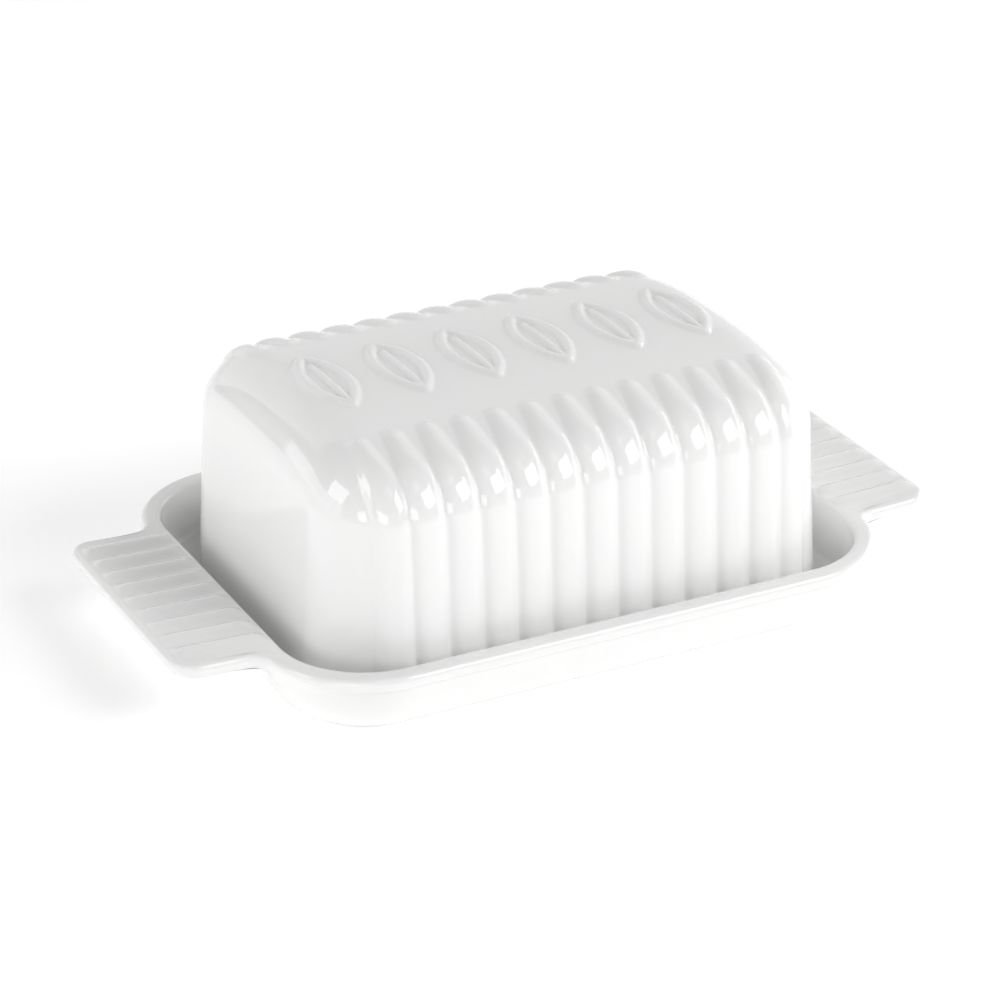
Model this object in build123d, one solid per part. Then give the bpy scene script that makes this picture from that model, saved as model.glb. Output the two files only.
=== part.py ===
from build123d import *
import os
from math import atan, cos, degrees, sin, sqrt, tan

# Butter dish: a shallow porcelain tray with two ribbed tab handles, and a deep reeded lid that stands in it.
# Millimetres. +X runs along the dish from handle to handle, +Y towards its back, +Z up.
# The origin is the middle of the foot, on the surface that the dish stands on.

# ---- driving dimensions ----
RIB_PITCH = 9.0              # spacing of the ribs on the lid's long sides
LID_RIBS = 13                # ribs on each long side
OVERALL_LENGTH = 206.8       # over both handles
TRAY_LENGTH = 164.0          # over the rim, handles left out
TRAY_WIDTH = 124.6
RIM_HEIGHT = 16.5            # top of the rim above the table
TOP_HEIGHT = 64.7            # middle of the lid's crowned top above the table
DRAFT = atan(0.05)           # lean of every lid wall, about 3 degrees

# ---- tray ----
TRAY_CORNER = 27.0           # plan radius of the rim's outer edge
FLOOR = 3.6                  # thickness of the tray's floor
BEAD = 2.1                   # radius of the rolled rim
FOOT_INSET = 8.8             # the foot's outer edge, in from the rim's outer edge
FOOT_WIDTH = 3.0             # flat ring that touches the table
FOOT_RECESS = 0.8            # the underside inside the ring stands this far off the table
RIM_LEVEL = RIM_HEIGHT - BEAD    # centre of the rolled rim's section
# Sections of the bowl from the bottom up, as (in from the rim's outer edge, height).
OUTSIDE = [(FOOT_INSET, 0.0), (5.6, 2.6), (3.4, 7.6), (2.2, RIM_LEVEL)]
INSIDE = [(8.4, FLOOR), (7.0, 5.6), (6.1, 9.6), (5.2, RIM_LEVEL), (4.2, RIM_HEIGHT + 1)]

# ---- handles ----
HANDLE_WIDTH = 73.6
HANDLE_CORNER = 6.0
HANDLE_THICK = 3.4
HANDLE_EDGE = 1.5            # rounding of the tabs' upper and lower edges
HANDLE_DROP = 0.6            # the tabs leave the rim this far under its top
HANDLE_RISE = atan(0.046)    # the tabs climb slightly outwards
HANDLE_RIBS = 9
HANDLE_RIB_PITCH = 7.3
HANDLE_RIB_HEIGHT = 0.9
HANDLE_RIB_GAP = 0.3         # half the valley between two ribs
HANDLE_RIB_MARGIN = 2.4      # ribs stop this far inside the tab's outer edge
HANDLE_RIB_START = 79.0      # X where the ribs begin, on the rim

# ---- lid ----
LID_HALF_LENGTH = 69.4       # end wall's outer face, carried down to Z = 0
LID_HALF_WIDTH = 52.3        # long wall's outer face between the ribs, carried down to Z = 0
LID_CORNER = 23.0            # plan radius of the lid's upright corners at its base
SHOULDER = 11.0              # rounding between walls and top
CROWN = 136.0                # the top is arched across the lid with this radius
LID_WALL = 3.4
LID_RIB_HEIGHT = 1.2
LID_RIB_WIDTH = 8.0
RIB_END = 27.0               # ribs run over the shoulder to this far from the middle of the top
ORNAMENT_COUNT = 6
ORNAMENT_PITCH = 19.2
ORNAMENT_LENGTH = 33.0       # across the lid
ORNAMENT_WIDTH = 13.4        # along the lid
ORNAMENT_STROKE = 3.0
ORNAMENT_HEIGHT = 0.9

SINK = 1.0                   # how far added relief is buried, so that it joins cleanly
SKIRT_ROOM = 2.0             # the trimming block for the ribs' feet stands this far outside the lid's walls
SETTLE_STEPS = 6             # rounds that bring the shoulder's centre to rest


def rounded_slab(half_length, half_width, radius, bottom, height, taper=0.0):
    """A rounded rectangle raised by height, its walls leaning inwards by taper degrees."""
    outline = Plane.XY.offset(bottom) * RectangleRounded(2 * half_length, 2 * half_width, radius)
    return extrude(outline, amount=height, taper=taper)


def at_height(size, z):
    """A lid half-size given at Z = 0, as it is at height z."""
    return size - z * tan(DRAFT)


def crown_radius(width, height):
    """Radius of the arc that rises height over a chord of the given width."""
    half = width / 2
    return (half * half + height * height) / (2 * height)


# ---- tray ----
def rim_path(inset, z):
    """A loop parallel to the rim's outer edge, inset from it, at height z."""
    outline = RectangleRounded(TRAY_LENGTH - 2 * inset, TRAY_WIDTH - 2 * inset, TRAY_CORNER - inset)
    return (Plane.XY.offset(z) * outline).wires()[0]


def tray_bowl():
    """Outer body lofted from foot to rim, hollowed by a loft from floor to rim, with a rolled edge."""
    half_length = TRAY_LENGTH / 2
    half_width = TRAY_WIDTH / 2

    def section(inset, z):
        outline = RectangleRounded(2 * (half_length - inset), 2 * (half_width - inset), TRAY_CORNER - inset)
        return Plane.XY.offset(z) * outline

    outer = loft([section(inset, z) for inset, z in OUTSIDE])
    inner = loft([section(inset, z) for inset, z in INSIDE])
    bead_path = rim_path(BEAD, RIM_LEVEL)
    start = bead_path @ 0
    bead_section = Plane(start, z_dir=bead_path % 0) * Circle(BEAD)
    bead = sweep(bead_section, path=bead_path)
    ring = FOOT_INSET + FOOT_WIDTH
    recess = rounded_slab(half_length - ring, half_width - ring, TRAY_CORNER - ring, 0, FOOT_RECESS)
    return outer - inner + bead - recess


def handle(side):
    """One tab with its ribs, built on +X and turned round for the other end."""
    reach = OVERALL_LENGTH / 2
    inner = TRAY_LENGTH / 2 - BEAD
    run = reach - inner
    tilted = Plane(
        origin=(inner, 0, RIM_HEIGHT - HANDLE_DROP),
        x_dir=(cos(HANDLE_RISE), 0, sin(HANDLE_RISE)),
        z_dir=(-sin(HANDLE_RISE), 0, cos(HANDLE_RISE)),
    )
    blank = Box(run, HANDLE_WIDTH, HANDLE_THICK, align=(Align.MIN, Align.CENTER, Align.MAX))
    upright = blank.edges().filter_by(Axis.Z).sort_by(Axis.X)[-2:]
    blank = fillet(upright, HANDLE_CORNER)
    tab = fillet(blank.faces().filter_by(Axis.Z).edges(), HANDLE_EDGE)
    length = reach - HANDLE_RIB_MARGIN - HANDLE_RIB_START
    radius = crown_radius(HANDLE_RIB_PITCH - 2 * HANDLE_RIB_GAP, HANDLE_RIB_HEIGHT)
    ribs = []
    for index in range(HANDLE_RIBS):
        y = (index - (HANDLE_RIBS - 1) / 2) * HANDLE_RIB_PITCH
        bar = Cylinder(radius, length, rotation=(0, 90, 0))
        ribs.append(Pos(HANDLE_RIB_START - inner + length / 2, y, HANDLE_RIB_HEIGHT - radius) * bar)
    surface_layer = Box(3 * run, HANDLE_WIDTH, 2 * SINK)
    tab = tab + [rib & surface_layer for rib in ribs]
    whole = tilted * tab
    return whole if side > 0 else whole.rotate(Axis.Z, 180)


# ---- lid ----
def loaf(thickness):
    """The lid's smooth outside as a solid or, with a thickness, the hollow under it."""
    blank = rounded_slab(
        at_height(LID_HALF_LENGTH, FLOOR) - thickness,
        at_height(LID_HALF_WIDTH, FLOOR) - thickness,
        LID_CORNER - thickness,
        FLOOR,
        TOP_HEIGHT,
        degrees(DRAFT),
    )
    arch = Cylinder(CROWN - thickness, 2 * LID_HALF_LENGTH, rotation=(0, 90, 0))
    blank = blank & Pos(0, 0, TOP_HEIGHT - CROWN) * arch
    return fillet(blank.faces().sort_by(Axis.Z)[-1].edges(), SHOULDER - thickness / 2)


def shoulder_centre(half_width):
    """Centre, as (y, z), of the shoulder between the arched top and a wall half_width out at Z = 0."""
    y = half_width - SHOULDER
    for _ in range(SETTLE_STEPS):
        z = TOP_HEIGHT - CROWN + sqrt((CROWN - SHOULDER) ** 2 - y ** 2)
        y = at_height(half_width, z) - SHOULDER / cos(DRAFT)
    return y, z


def lid_rib(x, side):
    """One rib: a crowned strip that climbs the long wall, turns over the shoulder and ends on the top."""
    straight = LID_HALF_LENGTH - LID_CORNER
    beyond = max(abs(x) - straight, 0)
    recess = LID_CORNER - sqrt(LID_CORNER ** 2 - beyond ** 2)
    half_width = LID_HALF_WIDTH - recess
    centre_y, centre_z = shoulder_centre(half_width)
    arch_z = TOP_HEIGHT - CROWN
    reach = CROWN / (CROWN - SHOULDER)
    start_z = FLOOR - SINK
    foot = (x, at_height(half_width, start_z), start_z)
    spring = (x, centre_y + SHOULDER * cos(DRAFT), centre_z + SHOULDER * sin(DRAFT))
    crest = (x, centre_y * reach, arch_z + (centre_z - arch_z) * reach)
    end_z = arch_z + sqrt(CROWN ** 2 - RIB_END ** 2)
    wall_line = Line(foot, spring)
    over = TangentArc(spring, crest, tangent=wall_line % 1)
    along = TangentArc(crest, (x, RIB_END, end_z), tangent=over % 1)
    path = Wire([wall_line, over, along])
    outward = Vector(0, cos(DRAFT), sin(DRAFT))
    base = Plane(foot, x_dir=(1, 0, 0), z_dir=wall_line % 0)
    up = 1 if base.y_dir.dot(outward) > 0 else -1
    radius = crown_radius(LID_RIB_WIDTH, LID_RIB_HEIGHT)
    crown = Pos(0, up * (LID_RIB_HEIGHT - radius)) * Circle(radius)
    strip = Pos(0, up * (LID_RIB_HEIGHT - SINK) / 2) * Rectangle(LID_RIB_WIDTH, LID_RIB_HEIGHT + SINK)
    rib = sweep(base * (crown & strip), path=path)
    cap = Pos(x, RIB_END, end_z + LID_RIB_HEIGHT - radius) * Sphere(radius)
    cap = cap & Pos(x, RIB_END, end_z) * Box(2 * radius, 2 * radius, 2 * LID_RIB_HEIGHT)
    rib = rib + cap
    return rib if side > 0 else rib.mirror(Plane.XZ)


def leaf(x):
    """A raised leaf on the lid's top: a pointed loop with a midrib. It stands for no letter."""
    def lens(length, width):
        tip = (0, length / 2)
        tail = (0, -length / 2)
        right = ThreePointArc(tail, (width / 2, 0), tip)
        left = ThreePointArc(tip, (-width / 2, 0), tail)
        return make_face([right, left])

    loop = lens(ORNAMENT_LENGTH, ORNAMENT_WIDTH)
    hole = lens(ORNAMENT_LENGTH - 4 * ORNAMENT_STROKE, ORNAMENT_WIDTH - 2 * ORNAMENT_STROKE)
    midrib = Rectangle(ORNAMENT_STROKE / 2, ORNAMENT_LENGTH - 2 * ORNAMENT_STROKE)
    sketch = loop - hole + midrib
    return extrude(Pos(x, 0, TOP_HEIGHT - SINK) * sketch, amount=SINK + ORNAMENT_HEIGHT)


def build_lid():
    lid = loaf(0.0) - loaf(LID_WALL)
    skirt = rounded_slab(
        at_height(LID_HALF_LENGTH, FLOOR) + SKIRT_ROOM,
        at_height(LID_HALF_WIDTH, FLOOR) + SKIRT_ROOM,
        LID_CORNER + SKIRT_ROOM,
        FLOOR,
        TOP_HEIGHT,
    )
    relief = []
    for index in range(LID_RIBS):
        x = (index - (LID_RIBS - 1) / 2) * RIB_PITCH
        relief += [lid_rib(x, 1) & skirt, lid_rib(x, -1) & skirt]
    for index in range(ORNAMENT_COUNT):
        relief.append(leaf((index - (ORNAMENT_COUNT - 1) / 2) * ORNAMENT_PITCH))
    return lid + relief


def build_tray():
    return tray_bowl() + [handle(1), handle(-1)]


if __name__ == "__main__":
    os.makedirs("parts", exist_ok=True)
    for name, shape in {"tray": build_tray(), "lid": build_lid()}.items():
        print(name, round(shape.volume), "mm3,", len(shape.solids()), "solid")
        export_step(shape, f"parts/{name}.step")
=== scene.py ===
import math

import bpy
import numpy as np
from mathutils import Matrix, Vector


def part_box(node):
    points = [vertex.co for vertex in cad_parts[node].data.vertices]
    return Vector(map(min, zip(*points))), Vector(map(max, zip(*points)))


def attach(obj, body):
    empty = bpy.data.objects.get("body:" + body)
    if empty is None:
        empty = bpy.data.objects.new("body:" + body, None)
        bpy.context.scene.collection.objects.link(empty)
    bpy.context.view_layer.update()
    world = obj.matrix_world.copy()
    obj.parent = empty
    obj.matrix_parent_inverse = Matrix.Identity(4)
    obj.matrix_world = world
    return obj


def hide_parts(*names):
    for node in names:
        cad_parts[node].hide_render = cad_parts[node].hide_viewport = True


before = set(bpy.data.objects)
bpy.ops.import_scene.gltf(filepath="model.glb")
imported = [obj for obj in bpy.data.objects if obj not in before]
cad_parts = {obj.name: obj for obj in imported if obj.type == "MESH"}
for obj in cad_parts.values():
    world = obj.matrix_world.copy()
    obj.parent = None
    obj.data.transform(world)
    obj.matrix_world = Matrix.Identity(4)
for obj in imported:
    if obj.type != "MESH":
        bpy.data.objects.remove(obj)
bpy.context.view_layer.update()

# A porcelain butter dish: a tray with two ribbed tab handles, and a reeded lid that stands in it. Each is
# one closed skin in place of its CAD node, and takes its outer sizes from it. X runs from handle to handle.
# Lengths are in millimetres until a mesh is made, and in metres from there on.
MM = 0.001

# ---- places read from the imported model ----
LID_LOW, LID_HIGH = (np.array(corner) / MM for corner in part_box("lid"))
TRAY_HIGH = np.array(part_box("tray")[1]) / MM

# ---- the lid ----
DRAFT = 0.05                 # run in for each millimetre up, on every wall
RIB_PITCH = 9.0
RIB_COUNT = 13
RIB_HEIGHT = 1.2
RIB_END = 27.0               # the ribs end on the top, this far from its long centre line
RIB_SPREAD = 18.0            # from its end a rib takes this long to reach its full width and crest
TIP_WIDTH = 0.74             # width of a rib's end, as a share of its full width
TIP_HEIGHT = 0.9             # height of a rib's end, as a share of its full height
TIP_ROUND = 0.4              # softness of the edge at a rib's end, as a share of half a rib
TIP_POWER = 1.5              # power of the crest at a rib's end
VALLEY_ROUND = 0.1           # softness of the valley, as a share of half a rib
CREST_POWER = 2.9            # a higher power gives a flatter crest
LID_CORNER = 23.0            # plan radius of the upright corners, carried down to Z = 0
LID_WALL = 3.4
SIDE_SHOULDER = 9.0          # rounding between the long walls and the top
END_SHOULDER = 16.0          # rounding between the end walls and the top
CROWN_DROP = 5.9             # the top falls this much from its middle to CROWN_REACH on either side
CROWN_REACH = 40.0
CROWN_POWER = 2.8            # the fall is gentle in the middle and steep at the sides
LIP_ROUND = 1.3              # rounding of the lid's bottom edge
LID_BASE = LID_LOW[2]        # the lid stands on the tray's floor

# ---- the raised leaves on the lid ----
LEAF_COUNT = 6               # in a row along the lid, each pointing across it
LEAF_PITCH = 19.2
LEAF_LENGTH = 33.0
LEAF_WIDTH = 13.4
STROKE = 3.2                 # width of the loop's raised line
STROKE_POWER = 1.2           # a higher power gives a sharper line
LEAF_HEIGHT = 0.9
TOP = LID_HIGH[2] - LEAF_HEIGHT    # middle of the lid's crowned top
MIDRIB_SHARE = 0.8           # width and height of the midrib, as a share of the loop's
MIDRIB_END = 0.62            # it stops this far along the half leaf

# ---- the tray ----
RIM_HEIGHT = 16.5
RIM_HALF_LENGTH = 82.0
RIM_HALF_WIDTH = TRAY_HIGH[1]
RIM_CORNER = 27.0
BEAD = 1.8                   # rounding of the upper edge of rim and handles
FLOOR = LID_BASE
# Sections, as (in from the rim's outer edge, height).
WELL = [(5.3, 14.2), (5.7, 12.5), (6.1, 10.0), (6.5, 7.4), (7.0, 5.4), (7.7, 4.1), (8.6, 3.6)]
BODY = [(1.15, 13.0), (1.3, 12.0), (1.8, 9.6), (2.8, 6.6), (4.3, 3.7), (6.2, 1.4), (7.8, 0.25), (8.8, 0.0)]
FOOT_RECESS = 0.8            # the underside inside the foot ring stands this far off the table
FOOT = [(12.4, FOOT_RECESS), (11.95, 0.48), (11.8, 0.2), (11.6, 0.0)]
# The rim's inner edge, as (in from the rim's outer edge, depth under the rim's level).
INNER_EDGE = [(1.8, 0.0), (3.8, 0.05), (4.9, 0.6), (5.3, 2.3)]

# ---- the handles ----
HANDLE_REACH = TRAY_HIGH[0]
HANDLE_HALF_WIDTH = 36.8
HANDLE_CORNER = 6.0
HANDLE_FILLET = 5.0          # plan radius between a handle's side and the rim
HANDLE_THICK = 3.6
HANDLE_SLOPE = 0.046         # the handles climb slightly outwards
SLOPE_START = 3.0            # the climb starts this far in from the rim's outer edge
SLOPE_EASE = 6.0             # and reaches its full slope over a few times this length
UNDER_ROUND = 0.81           # the lower edge of rim and handles is rounded this far in
UNDER_FILLET = 3.0           # width of the fillet between the body and the underside of rim and handles
HANDLE_RIBS = 9
HANDLE_RIB_PITCH = 7.3
HANDLE_RIB_HEIGHT = 1.35
HANDLE_RIB_START = 78.2      # the ribs rise out of the rim here
HANDLE_RIB_BORDER = 1.6      # and stop this far short of the handle's end
HANDLE_RIB_FADE = 3.6        # length of the slope at each end of a rib
HANDLE_RIB_EDGE = 0.5        # softness of the valleys between them, as a share of half a rib
HANDLE_RIB_POWER = 1.6

# ---- mesh fineness ----
CELL = 0.5                   # side of a mesh cell where there is relief
CELLS_PER_HANDLE_RIB = 16
EDGE_STEP = 0.2              # spacing of the rows down the rim's inner edge, the well and the body
WELL_STEP = 0.6
BODY_STEP = 0.5
# Rows inside the lid's ceiling, the tray's floor and its underside, as shares of the way out over each.
CEILING_RINGS = (0.3, 0.65)
FLOOR_RINGS = (0.7, 0.35)
UNDERSIDE_RINGS = (0.4, 0.8)
# Numbers of rows or columns over each stretch.
LID_ROWS = {
    "inner_shoulder": 12,
    "inner_wall": 9,
    "inner_lip": 6,
    "lip": 9,
    "wall": 24,
    "shoulder": 30,
    "top": 22,
}
TRAY_COLUMNS = {"corner": 20, "side": 22, "fillet": 14, "turn": 64, "back": 80}
TRAY_ROWS = {"underside": 29, "lower_edge": 5, "bead": 10, "top": 51}


# ======================================================================
# Small helpers for shapes
# ======================================================================
def steps(start, end, count):
    """count values from start towards end, with end left out."""
    return np.linspace(start, end, count, endpoint=False)


def after(start, end, count):
    """count even steps from start to end, with start left out."""
    return np.linspace(start, end, count + 1)[1:]


def between(start, end, count):
    """count even steps between start and end, with both left out."""
    return np.linspace(start, end, count + 2)[1:-1]


def blend(share, start, end):
    """start at share 0, end at share 1, and in between in proportion."""
    return start + (end - start) * share


def crown(u, edge, power):
    """Height of a broad rib, 1 on its crest and 0 in the rounded valley at u = 1."""
    depth = np.clip(1 - np.abs(u), 0, 1)
    rise = (np.sqrt(depth ** 2 + edge ** 2) - edge) / (np.sqrt(1 + edge ** 2) - edge)
    return 1 - (1 - rise) ** power


def ease(share):
    """Runs from 0 to 1 with a level start and end."""
    share = np.clip(share, 0, 1)
    return share * share * (3 - 2 * share)


def bump(u):
    """Height of a raised stroke, 1 along its middle and 0 from u = 1 on, level at both."""
    return np.clip(1 - u ** 2, 0, 1) ** STROKE_POWER


def smooth_curve(points, spacing):
    """Samples of a Catmull-Rom curve through the points, about spacing apart."""
    points = np.array(points, float)
    padded = np.vstack([2 * points[0] - points[1], points, 2 * points[-1] - points[-2]])
    samples = []
    for a, b, c, d in zip(padded, padded[1:], padded[2:], padded[3:]):
        count = max(2, int(np.linalg.norm(c - b) / spacing))
        for t in steps(0, 1, count):
            samples.append(0.5 * (2 * b + (c - a) * t + (2 * a - 5 * b + 4 * c - d) * t ** 2
                                  + (3 * b - a - 3 * c + d) * t ** 3))
    samples.append(points[-1])
    return np.array(samples)


def all_round(quadrant):
    """A loop anticlockwise from +X, out of its first quadrant, which runs from y = 0 to x = 0."""
    flip_x = np.array([-1, 1])
    flip_y = np.array([1, -1])
    return np.vstack([
        quadrant,
        quadrant[-2::-1] * flip_x,
        -quadrant[1:],
        quadrant[-2:0:-1] * flip_y,
    ])


def inset_of(points, half_length, half_width, radius):
    """How far points lie inside a rounded rectangle. Outside it is negative."""
    q = np.abs(points) - np.array([half_length - radius, half_width - radius])
    outside = np.hypot(np.maximum(q[..., 0], 0), np.maximum(q[..., 1], 0))
    return radius - outside - np.minimum(np.maximum(q[..., 0], q[..., 1]), 0)


def at_height(plan, z):
    """A loop over the plan points, at one height or with a height for each point."""
    return np.column_stack([plan, np.broadcast_to(z, len(plan))])


class Loops:
    """Builds one closed skin from loops of points, and from a grid that closes it at each end."""

    def __init__(self, core):
        """core: for each column, its point on the inner rectangle that the end grids fill."""
        self.core = np.round(core, 6)
        self.xs = np.unique(self.core[:, 0])
        self.ys = np.unique(self.core[:, 1])
        self.columns = len(core)
        self.points = []
        self.faces = []
        self.count = 0

    def _add(self, points):
        """Keeps the points, and returns the number of the first."""
        start = self.count
        self.points.append(points)
        self.count += len(points)
        return start

    def _grid(self, height):
        """A grid over the core rectangle: its points next to each column, and its faces."""
        x, y = np.meshgrid(self.xs, self.ys, indexing="ij")
        z = height(np.stack([x, y], axis=-1))
        start = self._add(np.stack([x, y, z], axis=-1).reshape(-1, 3))
        rows = len(self.ys)
        ix = np.searchsorted(self.xs, self.core[:, 0])
        iy = np.searchsorted(self.ys, self.core[:, 1])
        ring = start + ix * rows + iy
        i, j = np.meshgrid(np.arange(len(self.xs) - 1), np.arange(rows - 1), indexing="ij")
        a = (start + i * rows + j).ravel()
        return ring, np.stack([a, a + rows, a + rows + 1, a + 1], axis=-1)

    def _join(self, lower, upper):
        """Faces between two rows. Where columns share a point, a face has three corners or none."""
        for c in range(self.columns):
            n = (c + 1) % self.columns
            corners = [lower[c], lower[n], upper[n], upper[c]]
            face = [v for k, v in enumerate(corners) if v != corners[k - 1]]
            if len(face) > 2:
                self.faces.append(face)

    def skin(self, first_height, loops, last_height):
        """Closes the first end facing down, runs through the loops, and closes the last end facing up."""
        ring, quads = self._grid(first_height)
        self.faces += quads[:, ::-1].tolist()
        for loop in loops:
            start = self._add(loop)
            row = np.arange(start, start + self.columns)
            self._join(ring, row)
            ring = row
        last, quads = self._grid(last_height)
        self._join(ring, last)
        self.faces += quads.tolist()

    def make(self, name):
        mesh = bpy.data.meshes.new(name)
        mesh.from_pydata((np.vstack(self.points) * MM).tolist(), [], self.faces)
        mesh.validate()
        mesh.shade_smooth()
        piece = bpy.data.objects.new(name, mesh)
        bpy.context.scene.collection.objects.link(piece)
        return piece


# ======================================================================
# The lid
# ======================================================================
def lid_columns(core_x, core_y, corner):
    """For each column of the lid, its point on the core rectangle and its outward direction."""
    side = np.linspace(0, core_y, round(core_y / CELL) + 1)
    back = np.linspace(core_x, 0, round(core_x / CELL) + 1)
    turn = np.linspace(0, math.pi / 2, round(corner * math.pi / 2 / CELL) + 1)[1:-1]
    core = np.vstack([
        np.column_stack([np.full_like(side, core_x), side]),
        np.column_stack([np.full_like(turn, core_x), np.full_like(turn, core_y)]),
        np.column_stack([back, np.full_like(back, core_y)]),
    ])
    out = np.vstack([
        np.tile([1.0, 0.0], (len(side), 1)),
        np.column_stack([np.cos(turn), np.sin(turn)]),
        np.tile([0.0, 1.0], (len(back), 1)),
    ])
    return all_round(core), all_round(out)


def rib_relief(points):
    """Height of the lid's ribs at plan points: long strips that end in half rounds on the top."""
    last = (RIB_COUNT - 1) / 2
    index = np.clip(np.round(points[..., 0] / RIB_PITCH), -last, last)
    across = points[..., 0] - index * RIB_PITCH
    from_end = np.abs(points[..., 1]) - RIB_END
    spread = ease(from_end / RIB_SPREAD)
    half = RIB_PITCH / 2 * blend(spread, TIP_WIDTH, 1)
    beyond = np.maximum(half - from_end, 0)
    edge = blend(spread, TIP_ROUND, VALLEY_ROUND)
    power = blend(spread, TIP_POWER, CREST_POWER)
    height = RIB_HEIGHT * blend(spread, TIP_HEIGHT, 1)
    return height * crown(np.hypot(across, beyond) / half, edge, power)


def leaf_relief(points):
    """Height of the row of raised leaves: a pointed loop and a midrib. They stand for no letter."""
    half = STROKE / 2
    last = (LEAF_COUNT - 1) / 2
    index = np.clip(np.round(points[..., 0] / LEAF_PITCH + last), 0, LEAF_COUNT - 1)
    across = np.abs(points[..., 0] - (index - last) * LEAF_PITCH)
    along = points[..., 1]
    length = LEAF_LENGTH / 2 - half
    width = LEAF_WIDTH / 2 - half
    radius = (length ** 2 + width ** 2) / (2 * width)
    outline = np.abs(np.hypot(across + radius - width, along) - radius)
    tip = np.hypot(across, np.abs(along) - length)
    outline = np.where(np.abs(along) > length, tip, outline)
    past_end = np.maximum(along - MIDRIB_END * length, -length - along)
    midrib = np.hypot(across, np.maximum(past_end, 0))
    loop_height = bump(outline / half)
    midrib_height = MIDRIB_SHARE * bump(midrib / (MIDRIB_SHARE * half))
    return LEAF_HEIGHT * np.maximum(loop_height, midrib_height)


def crown_drop(plan):
    """How far the lid's top has fallen at plan points from its height along the middle."""
    return CROWN_DROP * (np.abs(plan[..., 1]) / CROWN_REACH) ** CROWN_POWER


def crowned(plan, z):
    """Heights as the crown leaves them: it lowers the top and takes up the difference down the walls."""
    return z - crown_drop(plan) * (z - LID_BASE) / (TOP - LID_BASE)


def shoulder_arc(share, radius, thickness):
    """A point on the shoulder, share of the way from wall to top: distance out, height and direction.
    The inside of the lid takes its own shoulder, thickness in from the outside."""
    lean = math.atan(DRAFT)
    top = TOP - thickness
    bend = radius - thickness / 2
    centre_z = top - bend
    centre = LID_CORNER - thickness - DRAFT * centre_z - bend / math.cos(lean)
    angle = lean + (math.pi / 2 - lean) * share
    sideways = math.cos(angle)
    up = math.sin(angle)
    return centre + bend * sideways, centre_z + bend * up, sideways, up


def inner_rows(radius):
    """Rows over the lid's inside, from the middle of its ceiling to its lip: distance out and height."""
    still = np.zeros_like(radius)
    edge = shoulder_arc(1, radius, LID_WALL)[0]
    for share in CEILING_RINGS:
        yield edge * share, TOP - LID_WALL + still
    for share in np.linspace(1, 0, LID_ROWS["inner_shoulder"]):
        yield shoulder_arc(share, radius, LID_WALL)[:2]
    spring = shoulder_arc(0, radius, LID_WALL)[1]
    for share in after(0, 1, LID_ROWS["inner_wall"]):
        z = blend(share, spring, LID_BASE + LIP_ROUND)
        yield LID_CORNER - DRAFT * z - LID_WALL, z
    inside = LID_CORNER - DRAFT * (LID_BASE + LIP_ROUND) - LID_WALL
    for angle in after(0, math.pi / 2, LID_ROWS["inner_lip"]):
        distance = inside + LIP_ROUND * (1 - math.cos(angle))
        yield distance + still, LID_BASE + LIP_ROUND * (1 - math.sin(angle)) + still


def outer_rows(radius):
    """Rows over the lid's outside, from its lip to near the middle of its top: distance out, height, and
    the direction that relief stands in, as its parts sideways and up."""
    still = np.zeros_like(radius)
    lean = math.atan(DRAFT)
    outside = LID_CORNER - DRAFT * (LID_BASE + LIP_ROUND)
    for angle in np.linspace(0, math.pi / 2, LID_ROWS["lip"]):
        distance = outside - LIP_ROUND * (1 - math.sin(angle))
        z = LID_BASE + LIP_ROUND * (1 - math.cos(angle))
        yield distance + still, z + still, math.sin(angle), 0
    spring = shoulder_arc(0, radius, 0)[1]
    for share in between(0, 1, LID_ROWS["wall"]):
        z = blend(share, LID_BASE + LIP_ROUND, spring)
        yield LID_CORNER - DRAFT * z, z, math.cos(lean), math.sin(lean)
    for share in np.linspace(0, 1, LID_ROWS["shoulder"]):
        yield shoulder_arc(share, radius, 0)
    edge = shoulder_arc(1, radius, 0)[0]
    for share in between(1, 0, LID_ROWS["top"]):
        yield edge * share, TOP + still, 0, 1


def build_lid():
    half_length = LID_HIGH[0] + DRAFT * LID_BASE
    half_width = LID_HIGH[1] - RIB_HEIGHT + DRAFT * LID_BASE
    core, out = lid_columns(half_length - LID_CORNER, half_width - LID_CORNER, LID_CORNER)
    radius = END_SHOULDER + (SIDE_SHOULDER - END_SHOULDER) * out[:, 1] ** 2
    loops = []
    for distance, z in inner_rows(radius):
        plan = core + out * distance[:, None]
        loops.append(at_height(plan, crowned(plan, z)))
    for distance, z, sideways, up in outer_rows(radius):
        plan = core + out * distance[:, None]
        raised = rib_relief(plan) + leaf_relief(plan)
        placed = plan + out * (raised * sideways)[:, None]
        loops.append(at_height(placed, crowned(plan, z) + raised * up))
    builder = Loops(core)
    builder.skin(
        lambda plan: crowned(plan, TOP - LID_WALL),
        loops,
        lambda plan: crowned(plan, TOP) + rib_relief(plan) + leaf_relief(plan),
    )
    return builder.make("lid_porcelain")


# ======================================================================
# The tray
# ======================================================================
def arc(centre, radius, start, end, count):
    """Points and outward directions along an arc, its last point left out."""
    angles = steps(start, end, count)
    out = np.column_stack([np.cos(angles), np.sin(angles)])
    return np.array(centre) + radius * out, out


def straight(start, end, count):
    """Points along a line, its last point left out."""
    return np.array(start) + steps(0, 1, count)[:, None] * (np.array(end) - np.array(start))


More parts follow.
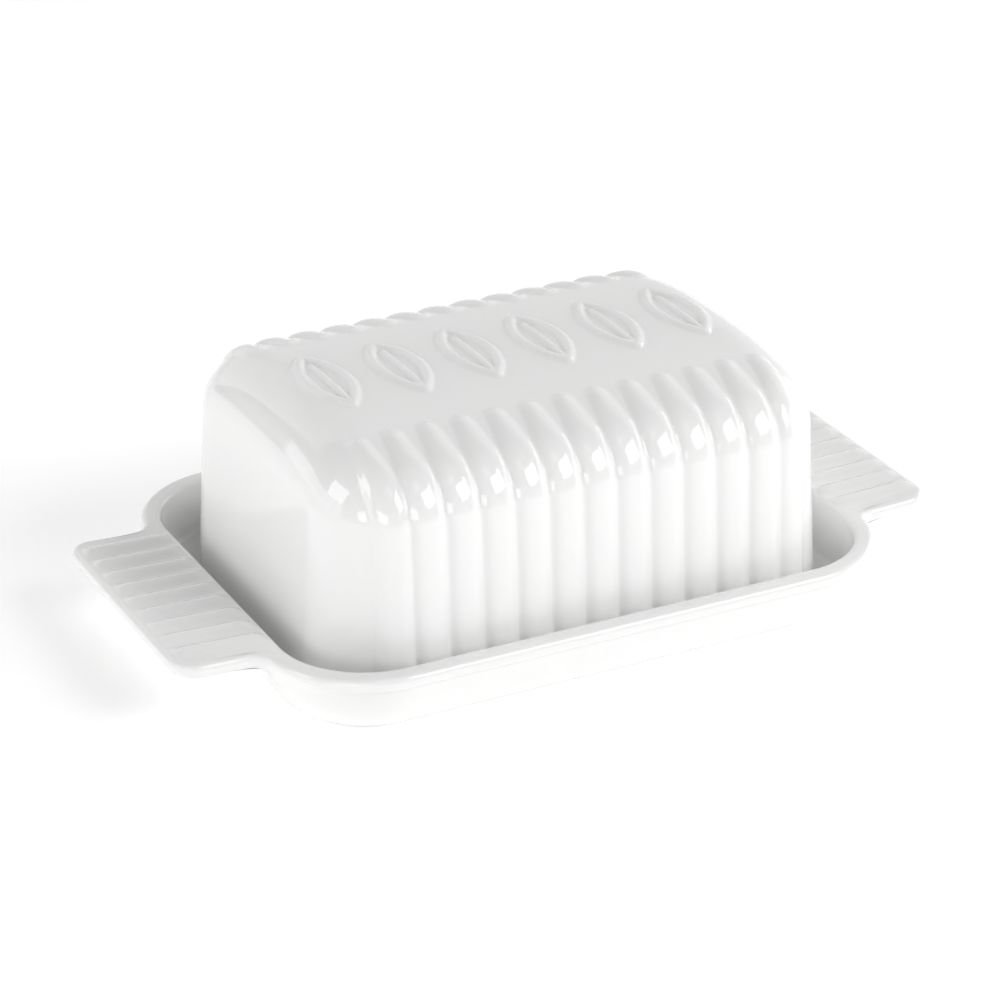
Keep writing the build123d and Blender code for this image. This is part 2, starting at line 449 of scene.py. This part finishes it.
def tray_columns():
    """For each column of the tray: its point on the core rectangle, the outward direction from it, its
    point on the outline of rim and handles, and the inward direction there."""
    core_x = RIM_HALF_LENGTH - RIM_CORNER
    core_y = RIM_HALF_WIDTH - RIM_CORNER
    flat_end = HANDLE_HALF_WIDTH - HANDLE_CORNER
    reach = RIM_CORNER + HANDLE_FILLET
    rise = HANDLE_HALF_WIDTH + HANDLE_FILLET - core_y
    meet = math.asin(rise / reach)
    fillet_x = core_x + reach * math.cos(meet)

    count = TRAY_COLUMNS
    corner_x = HANDLE_REACH - HANDLE_CORNER
    fillet_y = HANDLE_HALF_WIDTH + HANDLE_FILLET
    quarter = math.pi / 2
    edge_count = round(flat_end / (HANDLE_RIB_PITCH / CELLS_PER_HANDLE_RIB))
    edge = straight((HANDLE_REACH, 0), (HANDLE_REACH, flat_end), edge_count)
    corner, corner_out = arc((corner_x, flat_end), HANDLE_CORNER, 0, quarter, count["corner"])
    side = straight((corner_x, HANDLE_HALF_WIDTH), (fillet_x, HANDLE_HALF_WIDTH), count["side"])
    fillet, fillet_out = arc((fillet_x, fillet_y), HANDLE_FILLET, -quarter, meet - math.pi, count["fillet"])
    turn, turn_out = arc((core_x, core_y), RIM_CORNER, meet, quarter, count["turn"])
    back = at_height(np.linspace(core_x, 0, count["back"]), RIM_HALF_WIDTH)

    outline = np.vstack([edge, corner, side, fillet, turn, back])
    inward = -np.vstack([
        np.tile([1.0, 0.0], (len(edge), 1)),
        corner_out,
        np.tile([0.0, 1.0], (len(side), 1)),
        -fillet_out,
        turn_out,
        np.tile([0.0, 1.0], (len(back), 1)),
    ])
    # The columns of the handle's corner, side and fillet share the stretch of rim that is left for them.
    fan = len(corner) + len(side) + len(fillet)
    on_flat = core_y - flat_end
    travel = steps(0, on_flat + meet * RIM_CORNER, fan)
    fan_y = flat_end + np.minimum(travel, on_flat)
    fan_angle = np.maximum(travel - on_flat, 0) / RIM_CORNER
    core = np.vstack([
        np.column_stack([np.full(len(edge), core_x), edge[:, 1]]),
        np.column_stack([np.full(fan, core_x), fan_y]),
        np.tile([core_x, core_y], (len(turn), 1)),
        np.column_stack([back[:, 0], np.full(len(back), core_y)]),
    ])
    out = np.vstack([
        np.tile([1.0, 0.0], (len(edge), 1)),
        np.column_stack([np.cos(fan_angle), np.sin(fan_angle)]),
        turn_out,
        np.tile([0.0, 1.0], (len(back), 1)),
    ])
    return [all_round(part) for part in (core, out, outline, inward)]


def rim_inset(plan):
    """How far plan points lie in from the rim's outer edge."""
    return inset_of(plan, RIM_HALF_LENGTH, RIM_HALF_WIDTH, RIM_CORNER)


def top_level(plan):
    """Level of the rim and handles before their edges are rounded."""
    beyond = np.maximum(np.abs(plan[..., 0]) - RIM_HALF_LENGTH + SLOPE_START, 0)
    return RIM_HEIGHT + HANDLE_SLOPE * beyond ** 2 / (beyond + SLOPE_EASE)


def handle_relief(plan):
    """Ribs on the handles: short strips along X that sink away at both ends."""
    half = HANDLE_RIB_PITCH / 2
    last = (HANDLE_RIBS - 1) / 2
    index = np.clip(np.round(plan[..., 1] / HANDLE_RIB_PITCH), -last, last)
    across = plan[..., 1] - index * HANDLE_RIB_PITCH
    x = np.abs(plan[..., 0])
    room = np.minimum(x - HANDLE_RIB_START, HANDLE_REACH - HANDLE_RIB_BORDER - x)
    share = np.clip(room / HANDLE_RIB_FADE, 0, 1)
    height = HANDLE_RIB_HEIGHT * crown(across / half, HANDLE_RIB_EDGE, HANDLE_RIB_POWER)
    return height * share * (2 - share)


def inside_rim(core, out, inset):
    """Plan points of the columns, inset from the rim's outer edge."""
    return core + out * (RIM_CORNER - inset)


def underside(core, out, outline, inward):
    """Rows from the middle of the tray's underside, over the foot ring, up the body and out under rim and
    handles to their lower edge."""
    for share in UNDERSIDE_RINGS:
        yield at_height(core + out * share * (RIM_CORNER - FOOT[0][0]), FOOT_RECESS)
    for inset, z in FOOT:
        yield at_height(inside_rim(core, out, inset), z)
    for inset, z in smooth_curve(BODY, BODY_STEP)[::-1]:
        yield at_height(inside_rim(core, out, inset), z)
    body_inset, body_top = BODY[0]
    start = inside_rim(core, out, body_inset)
    end = outline + inward * UNDER_ROUND
    extent = np.linalg.norm(end - start, axis=1)
    for share in after(0, 1, TRAY_ROWS["underside"]):
        plan = blend(share, start, end)
        fillet = np.clip(1 - extent * share / UNDER_FILLET, 0, 1) ** 2
        yield at_height(plan, blend(fillet, top_level(plan) - HANDLE_THICK, body_top))
    for angle in between(math.pi / 2, 0, TRAY_ROWS["lower_edge"]):
        plan = outline + inward * UNDER_ROUND * (1 - math.cos(angle))
        yield at_height(plan, top_level(plan) - BEAD - (HANDLE_THICK - BEAD) * math.sin(angle))


def topside(core, out, outline, inward):
    """Rows from the outline over the bead, across rim and handles, down the well and in over the floor."""
    for angle in np.linspace(0, math.pi / 2, TRAY_ROWS["bead"]):
        plan = outline + inward * BEAD * (1 - math.cos(angle))
        yield at_height(plan, top_level(plan) - BEAD * (1 - math.sin(angle)))
    edge = smooth_curve(INNER_EDGE, EDGE_STEP)
    start = outline + inward * BEAD
    end = inside_rim(core, out, INNER_EDGE[-1][0])
    for share in after(0, 1, TRAY_ROWS["top"]):
        plan = blend(share, start, end)
        drop = np.interp(rim_inset(plan), edge[:, 0], edge[:, 1])
        yield at_height(plan, top_level(plan) - drop + handle_relief(plan))
    for inset, z in smooth_curve(WELL, WELL_STEP)[1:]:
        yield at_height(inside_rim(core, out, inset), z)
    for share in FLOOR_RINGS:
        yield at_height(core + out * share * (RIM_CORNER - WELL[-1][0]), FLOOR)


def build_tray():
    columns = tray_columns()
    builder = Loops(columns[0])
    builder.skin(
        lambda plan: np.full(plan.shape[:-1], FOOT_RECESS),
        [*underside(*columns), *topside(*columns)],
        lambda plan: np.full(plan.shape[:-1], FLOOR),
    )
    return builder.make("tray_porcelain")


# ======================================================================
# Materials
# ======================================================================
# Fired glaze is never quite flat: it swells over the width of a finger, and its skin has a finer texture.
# It lies thinner and warmer in some places, and thicker and cooler in others.
GLAZE_IOR = 1.5
GLAZE_SWELL = 0.016
GLAZE_SWELL_DEPTH = 0.00006
GLAZE_PEEL = 0.0013
GLAZE_PEEL_DEPTH = 0.000003
GLAZE_THIN = (0.900, 0.895, 0.884, 1)
GLAZE_THICK = (0.880, 0.884, 0.884, 1)
GLAZE_ROUGHNESS = (0.05, 0.09)
GLAZE_EDGE = 0.0004          # the glaze fades out over this height
# The bare fired body, on the foot ring and on the lid's lip.
BODY_GRAIN = 0.0003
BODY_GRAIN_DEPTH = 0.00002
BODY_DARK = (0.74, 0.71, 0.66, 1)
BODY_LIGHT = (0.82, 0.80, 0.76, 1)
BODY_ROUGHNESS = 0.65
LID_BARE = LID_BASE * MM + 0.0003    # the glaze starts this high on the lid
FOOT_BARE = 0.00015          # and this high on the tray
NOISE_RANGE = (0.3, 0.7)     # noise seldom goes outside this


def node(tree, kind, **values):
    made = tree.nodes.new(kind)
    for name, value in values.items():
        if name in made.inputs:
            made.inputs[name].default_value = value
        else:
            setattr(made, name, value)
    return made


def noise(tree, place, feature, detail):
    """Noise whose blotches are about feature metres across."""
    made = node(tree, "ShaderNodeTexNoise", Scale=1 / feature, Detail=detail)
    tree.links.new(place, made.inputs["Vector"])
    return made.outputs["Fac"]


def spread_over(tree, value, source, target):
    """Maps value linearly from the source range to the target range, and holds it at both ends."""
    made = node(tree, "ShaderNodeMapRange")
    tree.links.new(value, made.inputs["Value"])
    for name, number in zip(("From Min", "From Max", "To Min", "To Max"), (*source, *target)):
        made.inputs[name].default_value = number
    return made.outputs["Result"]


def blend_between(tree, share, first, second, kind):
    """Goes from first to second as share goes from 0 to 1. Each is a socket, a number or a colour."""
    made = node(tree, "ShaderNodeMix", data_type=kind)
    used = [socket for socket in made.inputs if socket.enabled]
    for socket, value in zip(used, (share, first, second)):
        if isinstance(value, bpy.types.NodeSocket):
            tree.links.new(value, socket)
        else:
            socket.default_value = value
    return next(socket for socket in made.outputs if socket.enabled)


def relief(tree, height, depth, under=None, where=None):
    """A bump depth metres deep, laid over the relief under it. where fades it in and out."""
    made = node(tree, "ShaderNodeBump", Distance=depth, Strength=1.0)
    tree.links.new(height, made.inputs["Height"])
    if where is not None:
        tree.links.new(where, made.inputs["Strength"])
    if under is not None:
        tree.links.new(under, made.inputs["Normal"])
    return made.outputs["Normal"]


def porcelain(name, bare_below):
    """White glazed porcelain. Below bare_below, in metres, the fired body is left without glaze."""
    material = bpy.data.materials.new(name)
    material.use_nodes = True
    tree = material.node_tree
    shader = tree.nodes["Principled BSDF"]
    shader.inputs["IOR"].default_value = GLAZE_IOR
    place = node(tree, "ShaderNodeTexCoord").outputs["Object"]
    height = node(tree, "ShaderNodeSeparateXYZ")
    tree.links.new(place, height.inputs["Vector"])

    swell = noise(tree, place, GLAZE_SWELL, detail=1.0)
    peel = noise(tree, place, GLAZE_PEEL, detail=2.0)
    grain = noise(tree, place, BODY_GRAIN, detail=3.0)
    bare = spread_over(tree, height.outputs["Z"], (bare_below, bare_below + GLAZE_EDGE), (1.0, 0.0))

    glaze = blend_between(tree, swell, GLAZE_THIN, GLAZE_THICK, "RGBA")
    body = blend_between(tree, grain, BODY_DARK, BODY_LIGHT, "RGBA")
    colour = blend_between(tree, bare, glaze, body, "RGBA")
    tree.links.new(colour, shader.inputs["Base Color"])

    gloss = spread_over(tree, peel, NOISE_RANGE, GLAZE_ROUGHNESS)
    roughness = blend_between(tree, bare, gloss, BODY_ROUGHNESS, "FLOAT")
    tree.links.new(roughness, shader.inputs["Roughness"])

    waves = relief(tree, swell, GLAZE_SWELL_DEPTH)
    skin = relief(tree, peel, GLAZE_PEEL_DEPTH, under=waves)
    surface = relief(tree, grain, BODY_GRAIN_DEPTH, under=skin, where=bare)
    tree.links.new(surface, shader.inputs["Normal"])
    return material


# ======================================================================
# Studio
# ======================================================================
STUDIO_CENTRE = Vector((0, 0, 0.03))
STUDIO_RADIUS = 1.6
WORLD_COLOUR = (1, 1, 1, 1)
WORLD_BRIGHTNESS = 0.06

VIEW_AZIMUTH = math.radians(27.0)     # the camera stands this far round to the left of the front
VIEW_ELEVATION = math.radians(25.9)
VIEW_DISTANCE = 0.8855
VIEW_TARGET = Vector((-0.0014, 0, 0.0226))
FOCAL_LENGTH = 127.4         # in millimetres, as is the sensor's width
SENSOR_WIDTH = 36.0

# The dish stands on a white sheet that fades into a white room.
GROUND_SIZE = 60.0
GROUND_COLOUR = (0.92, 0.92, 0.92, 1)
GROUND_ROUGHNESS = 0.9
GROUND_GLOW_COLOUR = (1, 1, 1, 1)
GROUND_GLOW = 0.3

# Degrees round from the front towards the right, degrees up, degrees wide, degrees high, brightness.
SOFTBOXES = {
    "key_right": (38, 35, 30, 24, 6.7),
    "key_left": (-95, 31, 24, 22, 4.1),
    "front_left": (-42, 13, 34, 18, 4.0),
    "top_front": (8, 58, 24, 14, 1.3),
    "fill_right": (88, 13, 60, 26, 2.1),
    "fill_left": (-112, 10, 60, 20, 1.6),
    "back_left": (-160, 20, 50, 30, 0.25),
    "backdrop": (150, 31, 106, 62, 0.82),
}


def softbox(name, azimuth, elevation, width, height, brightness):
    """A flat panel of even brightness that faces the dish, its size given as the angle it fills."""
    turn = math.radians(azimuth)
    rise = math.radians(elevation)
    out = Vector((math.sin(turn) * math.cos(rise), -math.cos(turn) * math.cos(rise), math.sin(rise)))
    light = bpy.data.lights.new(name, "AREA")
    light.shape = "RECTANGLE"
    light.size = 2 * STUDIO_RADIUS * math.tan(math.radians(width / 2))
    light.size_y = 2 * STUDIO_RADIUS * math.tan(math.radians(height / 2))
    light.energy = math.pi * light.size * light.size_y * brightness
    lamp = bpy.data.objects.new(name, light)
    lamp.location = STUDIO_CENTRE + out * STUDIO_RADIUS
    lamp.rotation_euler = (-out).to_track_quat("-Z", "Y").to_euler()
    lamp.visible_camera = False
    bpy.context.scene.collection.objects.link(lamp)


def build_floor():
    bpy.ops.mesh.primitive_plane_add(size=GROUND_SIZE)
    floor = bpy.context.object
    floor.name = "floor"
    material = bpy.data.materials.new("pale_floor")
    material.use_nodes = True
    shader = material.node_tree.nodes["Principled BSDF"]
    shader.inputs["Base Color"].default_value = GROUND_COLOUR
    shader.inputs["Roughness"].default_value = GROUND_ROUGHNESS
    shader.inputs["Emission Color"].default_value = GROUND_GLOW_COLOUR
    shader.inputs["Emission Strength"].default_value = GROUND_GLOW
    floor.data.materials.append(material)


def build_camera():
    camera = bpy.data.cameras.new("camera")
    camera.lens = FOCAL_LENGTH
    camera.sensor_width = SENSOR_WIDTH
    holder = bpy.data.objects.new("camera", camera)
    back = Vector((
        -math.sin(VIEW_AZIMUTH) * math.cos(VIEW_ELEVATION),
        -math.cos(VIEW_AZIMUTH) * math.cos(VIEW_ELEVATION),
        math.sin(VIEW_ELEVATION),
    ))
    holder.location = VIEW_TARGET + back * VIEW_DISTANCE
    holder.rotation_euler = (-back).to_track_quat("-Z", "Y").to_euler()
    bpy.context.scene.collection.objects.link(holder)
    bpy.context.scene.camera = holder


def build_world():
    world = bpy.data.worlds.new("studio")
    world.use_nodes = True
    background = world.node_tree.nodes["Background"]
    background.inputs["Color"].default_value = WORLD_COLOUR
    background.inputs["Strength"].default_value = WORLD_BRIGHTNESS
    bpy.context.scene.world = world


# ======================================================================
# The scene
# ======================================================================
build_camera()
build_world()
build_floor()
for name, settings in SOFTBOXES.items():
    softbox(name, *settings)
bpy.context.scene.view_settings.view_transform = "Standard"

lid = build_lid()
lid.data.materials.append(porcelain("lid_glaze", LID_BARE))
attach(lid, "lid")
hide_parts("lid")

tray = build_tray()
tray.data.materials.append(porcelain("tray_glaze", FOOT_BARE))
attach(tray, "tray")
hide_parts("tray")
